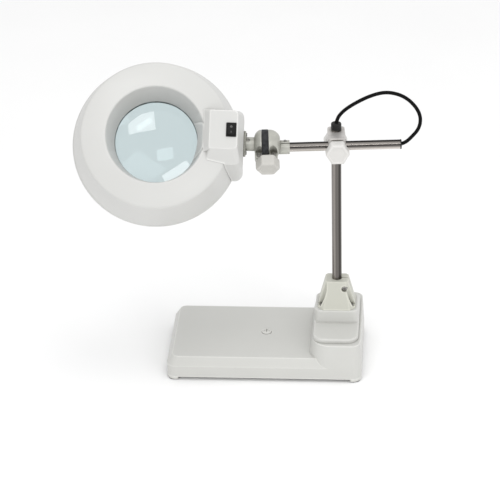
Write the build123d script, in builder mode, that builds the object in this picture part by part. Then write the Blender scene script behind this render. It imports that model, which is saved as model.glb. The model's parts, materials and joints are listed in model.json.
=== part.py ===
"""Magnifying lamp on a stand: weighted base, post, cross clamp, arm, swivel joint and lit lens head.

Frame: +X to the right, +Y away from the user, +Z up, millimetres.
Origin: centre of the base's footprint, on the table.
"""

from math import cos, pi, radians, sin, tan
import os

from build123d import *

os.makedirs("parts", exist_ok=True)

# ---------------------------------------------------------------- driving dimensions
FIT = 0.05              # radial running clearance of a shaft in its bore
GAP = 0.4               # free clearance between pieces that pass each other

BASE_W, BASE_D = 300.0, 170.0
BASE_R = 14.0           # plan radius of the base's corners
PAD_H = 1.5             # rubber pad under each corner foot
FOOT_H = 5.5            # underside of the base above the table
BAND_TOP = 24.5         # top of the vertical band round the base
BASE_TOP = 38.0
BEVEL = 8.0             # how far the bevel above the band draws in
WALL = 3.0

POST_X, POST_Y = 110.0, 4.0
POST_D, ARM_D, TUBE_WALL = 15.0, 14.0, 1.5
TIER_TOP = 64.0         # top of the pedestal moulded into the base
STEP_TOP = 71.0         # low step of the pedestal cover
COVER_TOP = 92.0
SOCKET_TOP = 135.0
SOCKET_FLOOR = 98.0     # the post stands here
POST_TOP = 390.0
CAP_TOP = 400.0

ARM_Z = 370.0           # height of the arm's axis
ARM_Y = -16.5           # arm axis in front of the post axis
ARM_YAW = 4.85          # degrees, turned about the post
ARM_LEFT, ARM_RIGHT = -87.5, 94.3
CLAMP_W, CLAMP_H = 26.0, 36.0
CLAMP_FRONT, CLAMP_BACK = -30.0, 14.0
BACK_KNOB_Z = -10.0

KNOB_R, KNOB_L = 18.2, 18.0     # hexagon's corner radius and its length
STUD_D = 6.0

JOINT_X = -106.7        # centre of the friction ring along the arm
JOINT_RISE = 5.3        # swivel axis above the arm axis
KNOB_TILT = 32.0        # the joint knob points this far below the horizontal
RING_R, RING_W = 22.5, 10.6
HUB_R = 12.0
SLEEVE_R = 10.4
ARM_SLEEVE_END = 36.5
LOBE_R, LOBE_DROP = 6.4, 19.0
HEAD_LOBE_X, ARM_LOBE_X = -9.3, 12.1
JOINT_KNOB_X = 3.0
JOINT_KNOB_START = 26.0

HEAD_TILT = 39.8        # optical axis above the horizontal
HEAD_CANT = 3.5         # neck against the swivel axis, in the plane of the lens
NECK_Z = 23.0           # neck axis above the shade's lower rim
HEAD_REACH = 162.0      # optical axis to the friction ring's centre
RIM_R, TOP_R, TOP_Z = 126.0, 110.3, 62.3
RECESS_R, RECESS_Z = 73.0, 67.4
OPENING_R, OPENING_Z = 62.0, 19.0
SKIN = 2.5              # shade's wall
LENS_R, LENS_EDGE = 63.5, 4.0
LENS_SAG = 5.8
LENS_Z = 13.0           # lower edge of the lens
LAMP_R, LAMP_TUBE_R, LAMP_Z = 93.5, 14.5, 28.0
LAMP_BASE_ANGLE = 26.0
BOX_TOP = 78.0
BOX_END = 130.0
SWITCH_X, SWITCH_Y = 112.0, 7.6
BEZEL_W, BEZEL_L = 15.0, 21.0
ROCKER_ANGLE = 10.0

CORD_D = 5.5

# ---------------------------------------------------------------- frames of the sub-assemblies
UP = Vector(0, 0, 1)
CLAMP = Plane(
    origin=(POST_X, POST_Y, ARM_Z),
    x_dir=(cos(radians(ARM_YAW)), sin(radians(ARM_YAW)), 0),
    z_dir=(0, 0, 1),
)
AWAY = CLAMP.y_dir
JOINT = Plane(
    origin=CLAMP.from_local_coords(Vector(JOINT_X, ARM_Y, JOINT_RISE)),
    x_dir=CLAMP.x_dir,
    z_dir=AWAY * cos(radians(KNOB_TILT)) + UP * sin(radians(KNOB_TILT)),
)
OPTICAL = UP * sin(radians(HEAD_TILT)) - AWAY * cos(radians(HEAD_TILT))
NECK_DIR = CLAMP.x_dir.rotate(Axis((0, 0, 0), OPTICAL), -HEAD_CANT)
HEAD = Plane(
    origin=JOINT.origin - NECK_DIR * HEAD_REACH - OPTICAL * NECK_Z,
    x_dir=NECK_DIR,
    z_dir=OPTICAL,
)
# the head and the arm's axis seen from the swivel joint
HEAD_IN_JOINT = Plane(JOINT.location.inverse() * HEAD.location)
ARM_IN_JOINT = (
    JOINT_RISE * cos(radians(KNOB_TILT)),
    -JOINT_RISE * sin(radians(KNOB_TILT)),
)


def save(piece, name, frame=Plane.XY):
    """Place a piece built in its own frame, label it and write it."""
    placed = frame.location * piece
    placed.label = name
    export_step(placed, f"parts/{name}.step")


def footprint(z, x0, x1, y0, y1, left_r, right_r):
    """A rectangle in plan with its own radii at the left and the right corners."""
    with BuildSketch(Plane.XY.offset(z)) as outline:
        with Locations(((x0 + x1) / 2, (y0 + y1) / 2)):
            Rectangle(x1 - x0, y1 - y0)
        fillet(outline.vertices().group_by(Axis.X)[0], left_r)
        fillet(outline.vertices().group_by(Axis.X)[-1], right_r)
    return outline.sketch


def cross(x):
    """The plane across the local X axis, with local Y and Z as its own two axes."""
    return Plane(origin=(x, 0, 0), x_dir=(0, 1, 0), z_dir=(1, 0, 0))


# ---------------------------------------------------------------- base
BW, BD = BASE_W / 2, BASE_D / 2
TIER_LOW = (66.0, BW, -BD, BD)
TIER_HIGH = (75.0, BW - 2, -BD + 2, BD - 2)
TIER_LEFT_R, TIER_RIGHT_R = 34.0, 14.0
COVER_SCREWS = tuple((x * (BW - 9), y * (BD - 9)) for x in (-1, 1) for y in (-1, 1))
PEDESTAL_SCREWS = tuple((POST_X + x, POST_Y + y) for x in (-27, 27) for y in (-8, 8))
PLUG_R = 7.5
GLAND_Z, GLAND_BORE_R = 44.0, 3.6


def base_form(inset, floor, drop):
    """The base's outer form drawn in by a wall's thickness, in the current builder."""
    mode = Mode.SUBTRACT if inset else Mode.ADD
    r = BASE_R - inset
    low = footprint(floor, -BW + inset, BW - inset, -BD + inset, BD - inset, r, r)
    extrude(low, amount=BAND_TOP - drop - floor, mode=mode)
    band = footprint(BAND_TOP - drop, -BW + inset, BW - inset, -BD + inset, BD - inset, r, r)
    i = inset + BEVEL
    top = footprint(BASE_TOP - drop, -BW + i, BW - i, -BD + i, BD - i, r - 4, r - 4)
    loft([band, top], mode=mode)
    x0, x1, y0, y1 = TIER_LOW
    tier_low = footprint(
        BAND_TOP - drop, x0 + inset, x1 - inset, y0 + inset, y1 - inset,
        TIER_LEFT_R - inset, TIER_RIGHT_R - inset,
    )
    x0, x1, y0, y1 = TIER_HIGH
    tier_high = footprint(
        TIER_TOP - drop, x0 + inset, x1 - inset, y0 + inset, y1 - inset,
        TIER_LEFT_R - 8 - inset, TIER_RIGHT_R - inset,
    )
    loft([tier_low, tier_high], mode=mode)


with BuildPart() as base_shell:
    base_form(0, FOOT_H, 0)
    base_form(WALL, FOOT_H, WALL)
    for x, y in COVER_SCREWS:       # screw posts for the bottom cover
        with BuildSketch(Plane.XY.offset(FOOT_H + 2)):
            with Locations((x, y)):
                Circle(7)
        extrude(amount=BAND_TOP - WALL - FOOT_H - 2)
        with BuildSketch(Plane.XY.offset(FOOT_H + 2)):
            with Locations((x, y)):
                Circle(1.8)
        extrude(amount=12, mode=Mode.SUBTRACT)
    with BuildSketch(Plane.XY.offset(BASE_TOP - WALL)):     # seat of the ballast screw
        Circle(PLUG_R + GAP)
    extrude(amount=WALL, mode=Mode.SUBTRACT)
    with BuildSketch(Plane.XY.offset(TIER_TOP - WALL)):     # wiring hole and screw holes
        with Locations((POST_X, POST_Y)):
            Circle(12)
        with Locations(*PEDESTAL_SCREWS):
            Circle(1.7)
    extrude(amount=WALL, mode=Mode.SUBTRACT)
    with BuildSketch(Plane.XZ.offset(-BD - 1)):             # mains gland's hole at the back
        with Locations((POST_X, GLAND_Z)):
            Circle(6)
    extrude(amount=8, mode=Mode.SUBTRACT)
save(base_shell.part, "base_shell")

with BuildPart() as bottom_cover:
    i = WALL + GAP
    extrude(footprint(FOOT_H, -BW + i, BW - i, -BD + i, BD - i, 10, 10), amount=2)
    with BuildSketch(Plane.XY.offset(FOOT_H)):
        with Locations(*COVER_SCREWS):
            Circle(1.8)
    extrude(amount=2, mode=Mode.SUBTRACT)
save(bottom_cover.part, "bottom_cover")

with BuildPart() as cover_screws:
    with BuildSketch(Plane.XY.offset(FOOT_H - 1.8)):
        with Locations(*COVER_SCREWS):
            Circle(3.3)
    extrude(amount=1.8)
    with BuildSketch(Plane.XY.offset(FOOT_H)):
        with Locations(*COVER_SCREWS):
            Circle(1.75)
    extrude(amount=12)
save(cover_screws.part, "cover_screws")

with BuildPart() as corner_feet:
    with BuildSketch(Plane.XY.offset(PAD_H)) as feet_plan:
        RectangleRounded(BASE_W, BASE_D, BASE_R)
        with BuildSketch(mode=Mode.INTERSECT):
            with Locations(*COVER_SCREWS):
                RectangleRounded(18, 18, 3)
    extrude(amount=FOOT_H - PAD_H)
    with BuildSketch(Plane.XY.offset(FOOT_H - 1.8)):        # room for the screw heads
        with Locations(*COVER_SCREWS):
            Circle(4)
    extrude(amount=1.8, mode=Mode.SUBTRACT)
save(corner_feet.part, "corner_feet")

with BuildPart() as foot_pads:
    with BuildSketch():
        with Locations(*COVER_SCREWS):
            Circle(6.5)
    extrude(amount=PAD_H)
save(foot_pads.part, "foot_pads")

WEIGHT_TOP = BASE_TOP - WALL - 8
with BuildPart() as ballast_weight:
    with BuildSketch(Plane.XY.offset(FOOT_H + 2)):
        with Locations((-35, 0)):
            RectangleRounded(180, 130, 6)
    extrude(amount=WEIGHT_TOP - 8 - FOOT_H - 2)
    with BuildSketch(Plane.XY.offset(WEIGHT_TOP - 8)):
        Circle(9)
    extrude(amount=8)
    with BuildSketch(Plane.XY.offset(WEIGHT_TOP)):
        Circle(2.55)
    extrude(amount=-10, mode=Mode.SUBTRACT)
save(ballast_weight.part, "ballast_weight")

with BuildPart() as ballast_screw:      # domed screw in the middle of the base's top
    with BuildSketch(Plane.XZ):
        with BuildLine():
            l1 = Line((0, WEIGHT_TOP - 10), (2.5, WEIGHT_TOP - 10))
            l2 = Line(l1 @ 1, (2.5, BASE_TOP - WALL))
            l3 = Line(l2 @ 1, (PLUG_R, BASE_TOP - WALL))
            l4 = Line(l3 @ 1, (PLUG_R, BASE_TOP + 1))
            l5 = ThreePointArc(l4 @ 1, (PLUG_R / 2, BASE_TOP + 2.8), (0, BASE_TOP + 3.4))
            Line(l5 @ 1, l1 @ 0)
        make_face()
    revolve(axis=Axis.Z)
    with BuildSketch(Plane.XY.offset(BASE_TOP + 4)):
        Rectangle(9, 1.4)
        Rectangle(1.4, 9)
    extrude(amount=-2.4, mode=Mode.SUBTRACT)
save(ballast_screw.part, "ballast_screw")

with BuildPart() as control_gear:       # choke that drives the circular tube
    with BuildSketch(Plane.XY.offset(FOOT_H + 2)):
        with Locations((108, -12)):
            RectangleRounded(46, 96, 3)
    extrude(amount=34)
save(control_gear.part, "control_gear")

with BuildPart() as mains_gland:        # bush that the mains lead passes through
    with BuildSketch(Plane.XZ.offset(-BD - 5)):
        with Locations((POST_X, GLAND_Z)):
            Circle(8.5)
    extrude(amount=5.4)
    with BuildSketch(Plane.XZ.offset(-BD - 1)):
        with Locations((POST_X, GLAND_Z)):
            Circle(5.9)
    extrude(amount=8)
    with BuildSketch(Plane.XZ.offset(-BD - 6)):
        with Locations((POST_X, GLAND_Z)):
            Circle(GLAND_BORE_R)
    extrude(amount=18, mode=Mode.SUBTRACT)
save(mains_gland.part, "mains_gland")

# ---------------------------------------------------------------- pedestal and post
HALF = 34.5             # half the pedestal cover's width
SOCKET_SCREWS = tuple((POST_X + x, POST_Y + y) for x in (-23, 23) for y in (-16, 16))

with BuildPart() as pedestal_cover:
    step = footprint(TIER_TOP, POST_X - HALF, POST_X + HALF, -75, 75, 18, 18)
    extrude(step, amount=STEP_TOP - TIER_TOP)
    fillet(pedestal_cover.edges().group_by(Axis.Z)[-1], 2)
    x0, x1 = POST_X - HALF + 0.5, POST_X + HALF - 0.5
    block_low = footprint(STEP_TOP - 3, x0, x1, POST_Y - 29, POST_Y + 29, 9, 9)
    block_high = footprint(COVER_TOP, x0 + 1, x1 - 1, POST_Y - 28, POST_Y + 28, 8, 8)
    loft([block_low, block_high])
    fillet(pedestal_cover.edges().group_by(Axis.Z)[-1], 2)
    inside = footprint(TIER_TOP, POST_X - HALF + WALL, POST_X + HALF - WALL, -72, 72, 15, 15)
    extrude(inside, amount=STEP_TOP - WALL - TIER_TOP, mode=Mode.SUBTRACT)
    core = footprint(TIER_TOP, x0 + 4, x1 - 4, POST_Y - 25, POST_Y + 25, 6, 6)
    extrude(core, amount=COVER_TOP - WALL - TIER_TOP, mode=Mode.SUBTRACT)
    with BuildSketch(Plane.XY.offset(TIER_TOP)):            # bosses for the pedestal screws
        with Locations(*PEDESTAL_SCREWS):
            Circle(5)
    extrude(amount=COVER_TOP - WALL - TIER_TOP)
    with BuildSketch(Plane.XY.offset(TIER_TOP)):
        with Locations(*PEDESTAL_SCREWS):
            Circle(1.5)
    extrude(amount=14, mode=Mode.SUBTRACT)
    with BuildSketch(Plane.XY.offset(COVER_TOP - WALL)):
        with Locations((POST_X, POST_Y)):
            Circle(6)
        with Locations(*SOCKET_SCREWS):
            Circle(1.6)
    extrude(amount=WALL, mode=Mode.SUBTRACT)
save(pedestal_cover.part, "pedestal_cover")

with BuildPart() as pedestal_screws:
    with BuildSketch(Plane.XY.offset(TIER_TOP - WALL - 2.4)):
        with Locations(*PEDESTAL_SCREWS):
            Circle(3.4)
    extrude(amount=2.4)
    with BuildSketch(Plane.XY.offset(TIER_TOP - WALL)):
        with Locations(*PEDESTAL_SCREWS):
            Circle(1.5)
    extrude(amount=WALL + 12)
save(pedestal_screws.part, "pedestal_screws")


def octagon(z, width, depth, corner):
    """Socket section: a rectangle about the post with its four corners cut off."""
    with BuildSketch(Plane.XY.offset(z)) as section:
        with Locations((POST_X, POST_Y)):
            Rectangle(width, depth)
        chamfer(section.vertices(), corner)
    return section.sketch


PINCH_X, PINCH_Z = POST_X + 12, 124.0
with BuildPart() as post_socket:
    loft([octagon(COVER_TOP, 58, 54, 9), octagon(SOCKET_TOP, 35, 28, 3.4)])
    fillet(post_socket.edges().group_by(Axis.Z)[-1], 1.2)
    with BuildSketch(Plane.XY.offset(SOCKET_FLOOR)):        # the post turns in this bore
        with Locations((POST_X, POST_Y)):
            Circle(POST_D / 2 + FIT)
    extrude(amount=SOCKET_TOP - SOCKET_FLOOR + 1, mode=Mode.SUBTRACT)
    with BuildSketch(Plane.XY.offset(COVER_TOP)):           # way for the wires, and screw holes
        with Locations((POST_X, POST_Y)):
            Circle(5)
        with Locations(*SOCKET_SCREWS):
            Circle(2)
    extrude(amount=SOCKET_FLOOR - COVER_TOP, mode=Mode.SUBTRACT)
    with BuildSketch(Plane.XY.offset(COVER_TOP + 3.5)):     # open channels over the screws
        with Locations(*SOCKET_SCREWS):
            SlotOverall(16, 9)
    extrude(amount=SOCKET_TOP - COVER_TOP, mode=Mode.SUBTRACT)
    with BuildSketch(Plane.XY.offset(PINCH_Z - 11)):        # slit that the pinch screw closes
        with Locations((POST_X + 15, POST_Y)):
            Rectangle(18, 1.6)
    extrude(amount=SOCKET_TOP, mode=Mode.SUBTRACT)
    with BuildSketch(Plane.XZ.offset(-POST_Y - 20)):
        with Locations((PINCH_X, PINCH_Z)):
            Circle(2.05)
    extrude(amount=40, mode=Mode.SUBTRACT)
    with BuildSketch(Plane.XZ.offset(-POST_Y + 11)):
        with Locations((PINCH_X, PINCH_Z)):
            Circle(4.6)
    extrude(amount=20, mode=Mode.SUBTRACT)
save(post_socket.part, "post_socket")

with BuildPart() as socket_screws:
    with BuildSketch(Plane.XY.offset(COVER_TOP - 10)):
        with Locations(*SOCKET_SCREWS):
            Circle(1.55)
    extrude(amount=13.5)
    with BuildSketch(Plane.XY.offset(COVER_TOP + 3.5)):
        with Locations(*SOCKET_SCREWS):
            Circle(3.5)
    extrude(amount=2.6)
    with BuildSketch(Plane.XY.offset(COVER_TOP + 4.6)):
        with Locations(*SOCKET_SCREWS):
            Rectangle(4.4, 0.9)
            Rectangle(0.9, 4.4)
    extrude(amount=2, mode=Mode.SUBTRACT)
save(socket_screws.part, "socket_screws")


def cap_screw(length, shank_r, head_r, head_h, socket_r):
    """A socket-head screw along +Z with the underside of its head at z = 0."""
    with BuildPart() as screw:
        with BuildSketch(Plane.XY.offset(-length)):
            Circle(shank_r)
        extrude(amount=length)
        with BuildSketch():
            Circle(head_r)
        extrude(amount=head_h)
        chamfer(screw.edges().group_by(Axis.Z)[-1], 0.5)
        with BuildSketch(Plane.XY.offset(head_h)):
            RegularPolygon(socket_r, 6)
        extrude(amount=-head_h * 0.6, mode=Mode.SUBTRACT)
    return screw.part


pinch_seat = Plane(origin=(PINCH_X, POST_Y - 11, PINCH_Z), x_dir=(1, 0, 0), z_dir=(0, -1, 0))
save(cap_screw(22, 2, 4.2, 3.6, 2.2), "post_pinch_screw", pinch_seat)

with BuildPart() as post_tube:
    with BuildSketch(Plane.XY.offset(SOCKET_FLOOR)):
        with Locations((POST_X, POST_Y)):
            Circle(POST_D / 2)
            Circle(POST_D / 2 - TUBE_WALL, mode=Mode.SUBTRACT)
    extrude(amount=POST_TOP - SOCKET_FLOOR)
save(post_tube.part, "post_tube")


def bush(outer_r, plug_r, height, plug, bore_r):
    """A rubber bush along +Z: a rounded collar on z = 0 and a plug below it."""
    with BuildPart() as rubber:
        with BuildSketch(Plane.XY.offset(-plug)):
            Circle(plug_r)
        extrude(amount=plug)
        with BuildSketch():
            Circle(outer_r)
        extrude(amount=height)
        fillet(rubber.edges().group_by(Axis.Z)[-1], min(2.0, height / 3))
        with BuildSketch(Plane.XY.offset(-plug)):
            Circle(bore_r)
        extrude(amount=plug + height, mode=Mode.SUBTRACT)
    return rubber.part


BUSH_BORE_R = CORD_D / 2 + 0.25
post_end = Plane(origin=(POST_X, POST_Y, POST_TOP))
save(
    bush(POST_D / 2 + 0.3, POST_D / 2 - TUBE_WALL, CAP_TOP - POST_TOP, 8, BUSH_BORE_R),
    "post_cap", post_end,
)

# ---------------------------------------------------------------- cross clamp
with BuildPart() as clamp_block:
    middle = (CLAMP_FRONT + CLAMP_BACK) / 2
    with BuildSketch(Plane.XY.offset(-CLAMP_H / 2)):
        with Locations((0, middle)):
            RectangleRounded(CLAMP_W, CLAMP_BACK - CLAMP_FRONT, 5)
    extrude(amount=CLAMP_H)
    fillet(clamp_block.edges().group_by(Axis.Z)[-1], 2)
    fillet(clamp_block.edges().group_by(Axis.Z)[0], 2)
    with BuildSketch(Plane.XY.offset(-CLAMP_H / 2)):        # bore for the post
        Circle(POST_D / 2 + FIT)
    extrude(amount=CLAMP_H, mode=Mode.SUBTRACT)
    with BuildSketch(cross(-CLAMP_W / 2)):                  # bore for the arm
        with Locations((ARM_Y, 0)):
            Circle(ARM_D / 2 + FIT)
    extrude(amount=CLAMP_W, mode=Mode.SUBTRACT)
    with BuildSketch(Plane.XZ.offset(-CLAMP_FRONT)):        # front knob's thread
        Circle(STUD_D / 2 + FIT)
    extrude(amount=-(ARM_Y - CLAMP_FRONT), mode=Mode.SUBTRACT)
    with BuildSketch(Plane.XZ.offset(-CLAMP_BACK)):         # back knob's thread
        with Locations((0, BACK_KNOB_Z)):
            Circle(STUD_D / 2 + FIT)
    extrude(amount=CLAMP_BACK, mode=Mode.SUBTRACT)
save(clamp_block.part, "clamp_block", CLAMP)


def hex_knob():
    """A six-sided hand knob along +Z, its back on z = 0, with a shallow dish in its face."""
    with BuildPart() as knob:
        with BuildSketch():
            RegularPolygon(KNOB_R, 6)
        extrude(amount=KNOB_L)
        fillet(knob.edges().filter_by(Axis.Z), 3)
        fillet(knob.edges().group_by(Axis.Z)[-1], 2.5)
        fillet(knob.edges().group_by(Axis.Z)[0], 1.5)
        with BuildSketch():
            Circle(STUD_D / 2)
        extrude(amount=KNOB_L * 0.7, mode=Mode.SUBTRACT)
    return knob.part


def knob_stud(reach):
    """The steel stud cast into a knob, ending in a point `reach` below the knob's back."""
    with BuildPart() as stud:
        with BuildSketch(Plane.XY.offset(-reach)):
            Circle(STUD_D / 2)
        extrude(amount=reach + KNOB_L * 0.7)
        chamfer(stud.edges().group_by(Axis.Z)[0], 0.8)
    return stud.part


front_seat = Plane(
    origin=CLAMP.from_local_coords(Vector(0, CLAMP_FRONT - GAP, 0)),
    x_dir=CLAMP.x_dir,
    z_dir=-AWAY,
)
back_seat = Plane(
    origin=CLAMP.from_local_coords(Vector(0, CLAMP_BACK + GAP, BACK_KNOB_Z)),
    x_dir=CLAMP.x_dir,
    z_dir=AWAY,
)
front_reach = ARM_Y - ARM_D / 2 - CLAMP_FRONT + GAP
back_reach = CLAMP_BACK + GAP - POST_D / 2
save(hex_knob(), "front_knob", front_seat)
save(knob_stud(front_reach - 0.05), "front_knob_stud", front_seat)
save(hex_knob(), "back_knob", back_seat)
save(knob_stud(back_reach - 0.05), "back_knob_stud", back_seat)

# ---------------------------------------------------------------- arm and swivel joint
with BuildPart() as arm_tube:
    with BuildSketch(cross(ARM_LEFT)):
        with Locations((ARM_Y, 0)):
            Circle(ARM_D / 2)
            Circle(ARM_D / 2 - TUBE_WALL, mode=Mode.SUBTRACT)
    extrude(amount=ARM_RIGHT - ARM_LEFT)
save(arm_tube.part, "arm_tube", CLAMP)

arm_end = Plane(
    origin=CLAMP.from_local_coords(Vector(ARM_RIGHT, ARM_Y, 0)),
    x_dir=AWAY,
    z_dir=CLAMP.x_dir,
)
save(bush(ARM_D / 2 + 0.3, ARM_D / 2 - TUBE_WALL, 2.0, 8, BUSH_BORE_R), "arm_end_bush", arm_end)

HALF_RING = RING_W / 2
ARM_DOME, HEAD_DOME, DOME_END_R = 17.0, 10.5, 11.0
TONGUE_W = 13.0
LOBE_FACE, LOBE_SCREW_R = -2.0, 3.6
SPIGOT_END = HALF_RING + 2.7
PIN_R = 5.0


def dome(side, length):
    """Half of the joint's round body: full at the ring, closing towards its sleeve."""
    end_x = side * (HALF_RING + length)
    with BuildSketch(Plane.XZ) as half:
        with BuildLine():
            face = Line((side * HALF_RING, 0), (side * HALF_RING, RING_R - 0.5))
            shoulder = Line(face @ 1, (side * (HALF_RING + 2), RING_R - 0.5))
            bend = ThreePointArc(
                shoulder @ 1,
                (side * (HALF_RING + 0.72 * length), RING_R - 4.5),
                (end_x, DOME_END_R),
            )
            end = Line(bend @ 1, (end_x, 0))
            Line(end @ 1, face @ 0)
        make_face()
    revolve(half.sketch, axis=Axis.X)


def lobe(x):
    """The round ear under a dome, square to the knob: spot face, disc, counterbore and hole."""
    for y, radius, depth, mode in (
        (LOBE_FACE - 20, LOBE_R, 20, Mode.SUBTRACT),
        (LOBE_FACE, LOBE_R, 14, Mode.ADD),
        (LOBE_FACE, LOBE_SCREW_R + 0.2, 2.5, Mode.SUBTRACT),
        (LOBE_FACE + 2.5, 2.0, 9, Mode.SUBTRACT),
    ):
        with BuildSketch(Plane.XZ.offset(-y)) as disc:
            with Locations((x, -LOBE_DROP)):
                Circle(radius)
            Rectangle(RING_W, 4 * LOBE_DROP, mode=Mode.SUBTRACT)
        extrude(disc.sketch, amount=-depth, mode=mode)


def radial(frame, x, y, z, angle, radius):
    """A plane on a sleeve's surface facing out, `angle` degrees from +Z towards +Y."""
    out = frame.z_dir * cos(radians(angle)) + frame.y_dir * sin(radians(angle))
    return Plane(
        origin=frame.from_local_coords(Vector(x, y, z)) + out * radius,
        x_dir=frame.x_dir,
        z_dir=out,
    )


GRUB_R, GRUB_L = 2.5, 4.0
ARM_GRUB = radial(Plane.XY, 30, *ARM_IN_JOINT, KNOB_TILT - 90, SLEEVE_R)
NECK_GRUB = radial(HEAD_IN_JOINT, 137, 0, NECK_Z, 23, SLEEVE_R)
SLEEVE_START = BOX_END + 3.5

with BuildPart() as arm_side_casting:
    dome(1, ARM_DOME)
    lobe(ARM_LOBE_X)
    with BuildSketch(cross(HALF_RING + ARM_DOME - 8)):
        with Locations(ARM_IN_JOINT):
            Circle(SLEEVE_R)
    extrude(amount=ARM_SLEEVE_END - HALF_RING - ARM_DOME + 8)
    with BuildSketch(Plane.YZ.offset(-3.5)):                # tongue under the ring, for the knob
        with Locations((0, -18)):
            Rectangle(TONGUE_W, 9)
    extrude(amount=HALF_RING + 6)
    with BuildSketch(cross(HALF_RING)):                     # recess that the head's hub turns in
        Circle(HUB_R + FIT)
    extrude(amount=SPIGOT_END + 0.3 - HALF_RING, mode=Mode.SUBTRACT)
    with BuildSketch(cross(0)):
        Circle(PIN_R)
    extrude(amount=HALF_RING + 12, mode=Mode.SUBTRACT)
    with BuildSketch(cross(ARM_LEFT - JOINT_X)):            # bore for the arm tube
        with Locations(ARM_IN_JOINT):
            Circle(ARM_D / 2)
    extrude(amount=ARM_SLEEVE_END, mode=Mode.SUBTRACT)
    with BuildSketch(Plane.XY.offset(-HUB_R)):              # knob's thread
        with Locations((JOINT_KNOB_X, 0)):
            Circle(STUD_D / 2 + FIT)
    extrude(amount=-14, mode=Mode.SUBTRACT)
    with BuildSketch(Plane.XZ.offset(-ARM_IN_JOINT[0])):    # slit that faces the user
        with Locations((ARM_SLEEVE_END - 6, ARM_IN_JOINT[1])):
            Rectangle(14, 1)
    extrude(amount=SLEEVE_R + 2, mode=Mode.SUBTRACT)
    with BuildSketch(ARM_GRUB.offset(-4)):                  # grub screw on the sleeve's top
        Circle(GRUB_R)
    extrude(amount=8, mode=Mode.SUBTRACT)
save(arm_side_casting.part, "arm_side_casting", JOINT)


def neck_cross(x):
    """The plane across the neck's axis, in the swivel joint's frame."""
    return Plane(
        origin=HEAD_IN_JOINT.from_local_coords(Vector(x, 0, NECK_Z)),
        x_dir=HEAD_IN_JOINT.y_dir,
        z_dir=HEAD_IN_JOINT.x_dir,
    )


NECK_R, NECK_TUBE_END = 7.0, 145.0
PIN_HEAD_X = -11.0
with BuildPart() as head_side_casting:
    dome(-1, HEAD_DOME)
    lobe(HEAD_LOBE_X)
    with BuildSketch(cross(-40)):                           # all of it turns inside this radius
        Circle(JOINT_KNOB_START - GAP)
    extrude(amount=80, mode=Mode.INTERSECT)
    with BuildSketch(neck_cross(SLEEVE_START)):
        Circle(SLEEVE_R)
    extrude(amount=HEAD_REACH - HALF_RING - 4 - SLEEVE_START)
    with BuildSketch(cross(-HALF_RING)):                    # hub that carries the ring
        Circle(HUB_R)
    extrude(amount=HALF_RING + SPIGOT_END)
    with BuildSketch(cross(PIN_HEAD_X)):                    # bore that turns on the pin
        Circle(PIN_R + FIT)
    extrude(amount=SPIGOT_END - PIN_HEAD_X, mode=Mode.SUBTRACT)
    with BuildSketch(cross(PIN_HEAD_X)):                    # room for the pin's head
        Circle(NECK_R + 0.4)
    extrude(amount=-7, mode=Mode.SUBTRACT)
    with BuildSketch(neck_cross(SLEEVE_START)):             # bore for the neck tube
        Circle(NECK_R)
    extrude(amount=NECK_TUBE_END - SLEEVE_START, mode=Mode.SUBTRACT)
    with BuildSketch(NECK_GRUB.offset(-4)):
        Circle(GRUB_R)
    extrude(amount=8, mode=Mode.SUBTRACT)
save(head_side_casting.part, "head_side_casting", JOINT)

with BuildPart() as friction_ring:
    with BuildSketch(cross(-HALF_RING + GAP)):
        Circle(RING_R)
        Circle(HUB_R + FIT, mode=Mode.SUBTRACT)
    extrude(amount=RING_W - GAP)
    chamfer(friction_ring.edges().filter_by(GeomType.CIRCLE).sort_by(SortBy.RADIUS)[-2:], 0.6)
    with BuildSketch(cross(-HALF_RING)):                    # notch for the casting's tongue
        with Locations((0, -HUB_R - 6)):
            Rectangle(TONGUE_W + 0.6, 15)
    extrude(amount=RING_W, mode=Mode.SUBTRACT)
save(friction_ring.part, "friction_ring", JOINT)

with BuildPart() as swivel_pin:
    with BuildSketch(cross(PIN_HEAD_X - FIT)):
        Circle(PIN_R)
    extrude(amount=HALF_RING + 12 - PIN_HEAD_X + FIT)
    with BuildSketch(cross(PIN_HEAD_X - FIT)):
        Circle(NECK_R)
    extrude(amount=-2.5)
save(swivel_pin.part, "swivel_pin", JOINT)


def within(frame, plane):
    """A plane given in a frame's own coordinates, placed in the part's frame."""
    return Plane(frame.location * plane.location)


GRUB = cap_screw(GRUB_L - 1, GRUB_R, GRUB_R, 1.0, 1.4)
save(GRUB, "arm_grub_screw", within(JOINT, ARM_GRUB))
save(GRUB, "neck_grub_screw", within(JOINT, NECK_GRUB))
for x, name in ((ARM_LOBE_X, "arm_side_screw"), (HEAD_LOBE_X, "head_side_screw")):
    seat = Plane(origin=(x, LOBE_FACE + 2.5, -LOBE_DROP), x_dir=(1, 0, 0), z_dir=(0, -1, 0))
    save(cap_screw(8, 2, LOBE_SCREW_R, 3.2, 1.9), name, within(JOINT, seat))

joint_seat = within(
    JOINT,
    Plane(origin=(JOINT_KNOB_X, 0, -JOINT_KNOB_START), x_dir=(1, 0, 0), z_dir=(0, 0, -1)),
)
save(hex_knob(), "joint_knob", joint_seat)
save(knob_stud(JOINT_KNOB_START - HUB_R - 0.05), "joint_knob_stud", joint_seat)

# ---------------------------------------------------------------- head
SEAT_Z = LENS_Z + LENS_EDGE + 0.5       # underside of the lip above the lens
SEAT_R = LENS_R + 0.4
LENS_CURVE = (LENS_R**2 + LENS_SAG**2) / (2 * LENS_SAG)    # radius of each lens face


def turned(points, radii=()):
    """Turn a closed outline of (radius, height) points about Z, rounding the named corners."""
    with BuildSketch(Plane.XZ) as outline:
        with BuildLine():
            Polyline(*points, close=True)
        make_face()
        for (r, z), radius in radii:
            corner = outline.vertices().sort_by_distance((r, z))[0]
            fillet(corner, radius)
    return outline.sketch


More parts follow.
